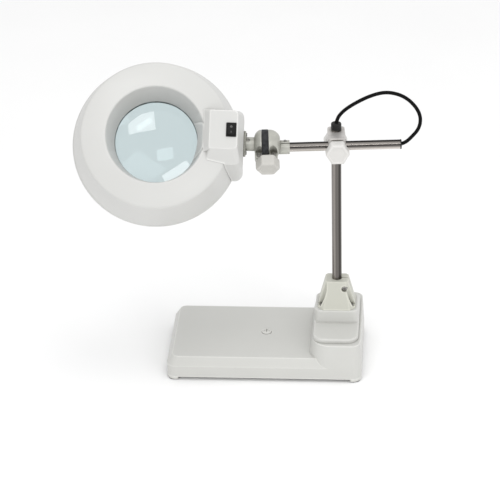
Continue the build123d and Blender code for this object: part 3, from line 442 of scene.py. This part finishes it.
def lens():
    face_r = (LENS_R**2 + LENS_SAG**2) / (2 * LENS_SAG)
    rows = 28
    bevel = 0.5
    spread = [(LENS_R - bevel) * k / rows for k in range(rows + 1)]
    drop = [face_r - sqrt(face_r**2 - r**2) for r in spread]
    low = [(r, LENS_Z - LENS_SAG + d) for r, d in zip(spread, drop)]
    high = [(r, LENS_Z + LENS_EDGE + LENS_SAG - d) for r, d in zip(spread, drop)]
    rim = [(LENS_R, LENS_Z + bevel), (LENS_R, LENS_Z + LENS_EDGE - bevel)]
    rings = []
    segments = 128
    for r, z in low[1:] + rim + high[:0:-1]:
        turn = [2 * pi * k / segments for k in range(segments)]
        rings.append([(r * cos(a), r * sin(a), z) for a in turn])
    points, faces = bridged(rings)
    for centre, ring in ((low[0], 0), (high[0], len(rings) - 1)):
        points.append((0, 0, centre[1]))
        start = ring * segments
        for k in range(segments):
            faces.append((len(points) - 1, start + k, start + (k + 1) % segments))
    piece("magnifier", points, faces, ("lens",), "head", HEAD, sharp=30)


def lamp():
    """The circular tube, which narrows where its ends enter the cap."""
    half_gap = radians(LAMP_BASE_ANGLE / 2)
    segments, around = 120, 32
    rings = []
    for k in range(segments + 1):
        a = half_gap + (2 * pi - 2 * half_gap) * k / segments
        nearest = min(k, segments - k)
        swell = 1.0 if nearest > 3 else (0.80, 0.90, 0.96, 0.99)[nearest]
        ring = []
        for m in range(around):
            b = 2 * pi * m / around
            r = LAMP_R + LAMP_TUBE_R * swell * cos(b)
            z = LAMP_Z + LAMP_TUBE_R * swell * sin(b)
            ring.append((r * cos(a), r * sin(a), z))
        rings.append(ring)
    points, faces = bridged(rings, caps=True)
    piece("lamp_tube", points, faces, ("circular_lamp",), "head", HEAD, sharp=50)


# ---------------------------------------------------------------- knobs and grip ring
CORNER_REACH, CORNER_SWELL, SIDE_HOLLOW, ROUND_REACH = 0.955, 0.02, 0.012, 0.9   # shares of size


def hexagon(size, roundness, segments=96):
    """Hexagon outline with soft corners, blended towards a circle by roundness 0 to 1."""
    outline = []
    apothem = size * cos(pi / 6)
    for k in range(segments):
        a = 2 * pi * k / segments
        flat = ((a + pi / 6) % (pi / 3)) - pi / 6
        straight = apothem / cos(pi / 6 - abs(flat))
        soft = min(straight, size * (CORNER_REACH + CORNER_SWELL * cos(6 * a)))
        hollow = soft - size * SIDE_HOLLOW * (1 - cos(6 * a)) / 2
        r = hollow * (1 - roundness) + size * ROUND_REACH * roundness
        outline.append((r * cos(a), r * sin(a)))
    return outline


def knob(name, joint, node, body):
    """Six-sided hand knob: soft corners, a rim round its dished face, a back that rounds in."""
    layers = (      # height, share of full size, roundness
        (0.0, 0.20, 1.0), (0.0, 0.80, 0.6), (0.5, 0.90, 0.2), (1.8, 0.985, 0.0), (3.2, 1.0, 0.0),
        (14.0, 1.0, 0.0), (16.0, 0.985, 0.0), (17.3, 0.945, 0.05), (18.0, 0.87, 0.15),
        (18.0, 0.80, 0.3), (17.6, 0.755, 0.5), (16.9, 0.70, 0.8), (16.6, 0.55, 1.0),
        (16.9, 0.25, 1.0), (17.0, 0.06, 1.0),
    )
    rings = []
    for z, share, roundness in layers:
        outline = hexagon(KNOB_R * share, roundness)
        rings.append([(x, y, z) for x, y in outline])
    points, faces = bridged(rings, caps=True)
    seat = placed(
        Vector(JOINTS[joint]["pos_m"]), ARM_DIR, Vector(JOINTS[joint]["axis"]),
    )
    piece(name, points, faces, (node,), body, seat, sharp=60)


def grip_ring():
    """The dark ring between the two castings: fine ribs across it and a notch underneath."""
    ribs, per_rib = 84, 4
    low, high = -RING_W / 2 + 0.4, RING_W / 2
    side = [(low, 0.7), (low + 0.6, 0.15), (low + 1.2, 0.0)]
    across = [(x, d) for x, d in side] + [(high - 1.2, 0.0), (high - 0.6, 0.15), (high, 0.7)]
    rings = []
    start = atan2(-sqrt(RING_R**2 - NOTCH**2), NOTCH)
    inner_start = atan2(-sqrt(HUB_R**2 - NOTCH**2), NOTCH)
    steps = ribs * per_rib
    for k in range(steps + 1):
        share = k / steps
        a = start + share * (pi - 2 * start)
        b = inner_start + share * (pi - 2 * inner_start)
        groove = 0.35 if k % per_rib in (0, 1) else 0.0
        ring = []
        for x, depth in across:
            r = RING_R - depth - (groove if 0 < k < steps else 0)
            ring.append((x, r * cos(a), r * sin(a)))
        ring.append((high, HUB_R * cos(b), HUB_R * sin(b)))
        ring.append((low, HUB_R * cos(b), HUB_R * sin(b)))
        rings.append(ring)
    points, faces = bridged(rings, caps=True)
    piece("grip_ring", points, faces, ("friction_ring",), "arm", JOINT, sharp=25)


# ---------------------------------------------------------------- rocker switch
def rocker():
    """The rocker's V-shaped top with rounded ends, tilted as it rests, and its two marks."""
    lift = VALLEY + ROCKER_R * tan(radians(ROCKER_ANGLE)) * 0.98
    reach = sqrt(ROCKER_R**2 - lift**2)
    outline = [(-reach, lift), (-reach * 0.5, (lift + VALLEY) / 2 - 0.12), (0.0, VALLEY)]
    outline += [(reach * 0.5, (lift + VALLEY) / 2 - 0.12), (reach, lift)]
    start = atan2(lift, reach)
    low = [start - k * (pi + 2 * start) / 24 for k in range(1, 24)]
    outline += [(ROCKER_R * cos(a), ROCKER_R * sin(a)) for a in low]
    rings = []
    for x, inset in ((-5, 0.35), (-4.7, 0.0), (4.7, 0.0), (5, 0.35)):
        shrink = 1 - inset / ROCKER_R
        rings.append([(x * ROCKER_W / 10, y * shrink, z * shrink) for y, z in outline])
    points, faces = bridged(rings, caps=True)
    tilted = ROCKER @ Matrix.Rotation(radians(-ROCKER_ANGLE), 4, "X")
    piece("rocker", points, faces, ("switch_rocker",), "rocker", tilted, sharp=30)

    slope = atan2(lift - VALLEY, reach)
    for name, y, ring in (("mark_on", -reach * 0.52, False), ("mark_off", reach * 0.52, True)):
        tilt = slope if y > 0 else -slope
        ground = VALLEY + abs(y) * tan(slope) - 0.02
        spot = tilted @ Matrix.Translation(Vector((0, y, ground)) * MM)
        spot = spot @ Matrix.Rotation(tilt, 4, "X")
        if ring:
            profile = ((1.45, -0.05), (1.45, 0.07), (0.95, 0.07), (0.95, -0.05))
            points, faces = turned(profile, segments=32)
        else:
            outline = rounded(((-0.28, -1.5), (0.28, -1.5), (0.28, 1.5), (-0.28, 1.5)),
                              {0: 0.2, 1: 0.2, 2: 0.2, 3: 0.2}, steps=3)
            points, faces = bridged([[(x, v, z) for x, v in outline] for z in (-0.05, 0.07)],
                                    caps=True)
        piece(
            name, points, faces, ("switch_rocker",), "rocker", spot, PRINT, replace=False,
        )


# ---------------------------------------------------------------- loop of cable
def nurbs_points(route):
    """Points along the smooth NURBS curve that a route in millimetres guides, in metres."""
    curve = bpy.data.curves.new("route", "CURVE")
    curve.dimensions = "3D"
    curve.resolution_u = 24
    spline = curve.splines.new("NURBS")
    spline.points.add(len(route) - 1)
    for point, place in zip(spline.points, route):
        point.co = (*(Vector(place) * MM), 1)
    spline.order_u = 3
    spline.use_endpoint_u = True
    holder = bpy.data.objects.new("route", curve)
    mesh = bpy.data.meshes.new_from_object(holder)
    line = [vertex.co.copy() for vertex in mesh.vertices]
    bpy.data.objects.remove(holder)
    bpy.data.curves.remove(curve)
    bpy.data.meshes.remove(mesh)
    return line


def cable_tube(name, line, radius, sides=20):
    """A round tube along a line of points, its section carried along without twist."""
    mesh = bpy.data.meshes.new(name)
    across = (line[1] - line[0]).orthogonal().normalized()
    rings = []
    for i, centre in enumerate(line):
        along = (line[min(i + 1, len(line) - 1)] - line[max(i - 1, 0)]).normalized()
        across = (across - along * across.dot(along)).normalized()
        other = along.cross(across)
        angles = [2 * pi * k / sides for k in range(sides)]
        rings.append([centre + (across * cos(a) + other * sin(a)) * radius for a in angles])
    points, faces = bridged(rings, caps=True)
    mesh.from_pydata(points, [], faces)
    mesh.shade_smooth()
    mesh.set_sharp_from_angle(angle=radians(50))
    mesh.materials.append(CABLE)
    obj = bpy.data.objects.new(name, mesh)
    bpy.context.scene.collection.objects.link(obj)
    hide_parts("loop_cable")
    return obj


def loop():
    """The cable from the post to the arm, in two halves."""
    line = nurbs_points(LOOP)
    middle = len(line) // 2
    halves = (
        ("cable_post_half", line[:middle + 1], "post", "clamp"),
        ("cable_arm_half", line[middle:][::-1], "arm", "clamp"),
    )
    for name, path, held, free in halves:
        obj = cable_tube(name, path, CORD_D / 2 * MM)
        first, last = (path[0], path[-1]) if held == "post" else (path[-1], path[0])
        if held == "post":      # the post half's end at the loop's middle, put level with its post end
            last = Vector((last.x, last.y, first.z))
        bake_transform(obj)


shade()
lens()
lamp()
knob("front_hand_knob", "front_knob_turn", "front_knob", "front_knob_body")
knob("back_hand_knob", "back_knob_turn", "back_knob", "back_knob_body")
knob("joint_hand_knob", "joint_knob_turn", "joint_knob", "joint_knob_body")
grip_ring()
rocker()
loop()


# ---------------------------------------------------------------- floor, lights and camera
def floor():
    n = Nodes("floor", (0.92, 0.92, 0.92), 0.7, **{"Specular IOR Level": 0.1})
    n.link("Base Color", n.ramp(n.noise(3, 3), (0.3, (0.94, 0.94, 0.94)), (0.7, (0.96, 0.96, 0.96))))
    half = 8.0
    mesh = bpy.data.meshes.new("floor")
    corners = ((-half, -half, 0), (half, -half, 0), (half, half, 0), (-half, half, 0))
    mesh.from_pydata(corners, [], [(0, 1, 2, 3)])
    mesh.materials.append(n.material)
    obj = bpy.data.objects.new("floor", mesh)
    bpy.context.scene.collection.objects.link(obj)


def softbox(name, place, aim, size, watts, turn=0.0, mirrored=False):
    """An area light, turned about its own axis, that shows in reflections only if mirrored."""
    light = bpy.data.lights.new(name, "AREA")
    light.shape = "RECTANGLE"
    light.size, light.size_y = size
    light.energy = watts
    obj = bpy.data.objects.new(name, light)
    bpy.context.scene.collection.objects.link(obj)
    direction = Vector(aim) - Vector(place)
    facing = direction.to_track_quat("-Z", "Y").to_matrix().to_4x4()
    facing = facing @ Matrix.Rotation(radians(turn), 4, "Z")
    obj.matrix_world = Matrix.Translation(place) @ facing
    obj.visible_glossy = mirrored


WINDOW_FAR, STRIP_FAR = 2.0, 2.2        # metres from the lens to the two lights that it mirrors


def lights():
    """Even white surroundings, three soft lights, and the two lights that the lens mirrors."""
    world = bpy.data.worlds.new("studio")
    world.use_nodes = True
    background = world.node_tree.nodes["Background"]
    background.inputs["Color"].default_value = (1.0, 1.0, 1.0, 1)
    background.inputs["Strength"].default_value = 0.88
    bpy.context.scene.world = world
    bpy.context.scene.view_settings.view_transform = "Standard"
    middle = (0.0, 0.0, 0.25)
    softbox("overhead", (0.3, -0.2, 2.3), middle, (1.2, 1.2), 10)
    softbox("front_right", (1.5, -1.9, 1.2), middle, (0.8, 1.0), 7)
    softbox("low_front", (-0.4, -2.4, 0.4), middle, (1.2, 0.8), 6)
    lens_at = HEAD.translation
    window = lens_at + Vector((-0.13, -0.43, 0.89)) * WINDOW_FAR
    softbox("window_left", window, lens_at, (0.50, 0.42), 3.2, 25, mirrored=True)
    strip = lens_at + Vector((0.22, -0.785, 0.58)) * STRIP_FAR
    softbox("window_right", strip, lens_at, (0.62, 0.20), 2.2, 25, mirrored=True)


def camera():
    """Long lens from the front, a little to the right and above, rolled slightly."""
    azimuth, elevation, roll = radians(4.6), radians(29.0), radians(1.45)
    distance, side, drop = 3.768, 0.0270, -0.1609
    back = Vector((
        sin(azimuth) * cos(elevation), -cos(azimuth) * cos(elevation), sin(elevation),
    ))
    level = Vector((cos(azimuth), sin(azimuth), 0))
    upright = back.cross(level)
    right = level * cos(roll) - upright * sin(roll)
    up = level * sin(roll) + upright * cos(roll)
    data = bpy.data.cameras.new("camera")
    data.sensor_width = 36.0
    data.lens = 172.8
    obj = bpy.data.objects.new("camera", data)
    bpy.context.scene.collection.objects.link(obj)
    matrix = Matrix((right, up, back)).transposed().to_4x4()
    matrix.translation = back * distance - right * side - up * drop
    obj.matrix_world = matrix
    bpy.context.scene.camera = obj


floor()
lights()
camera()
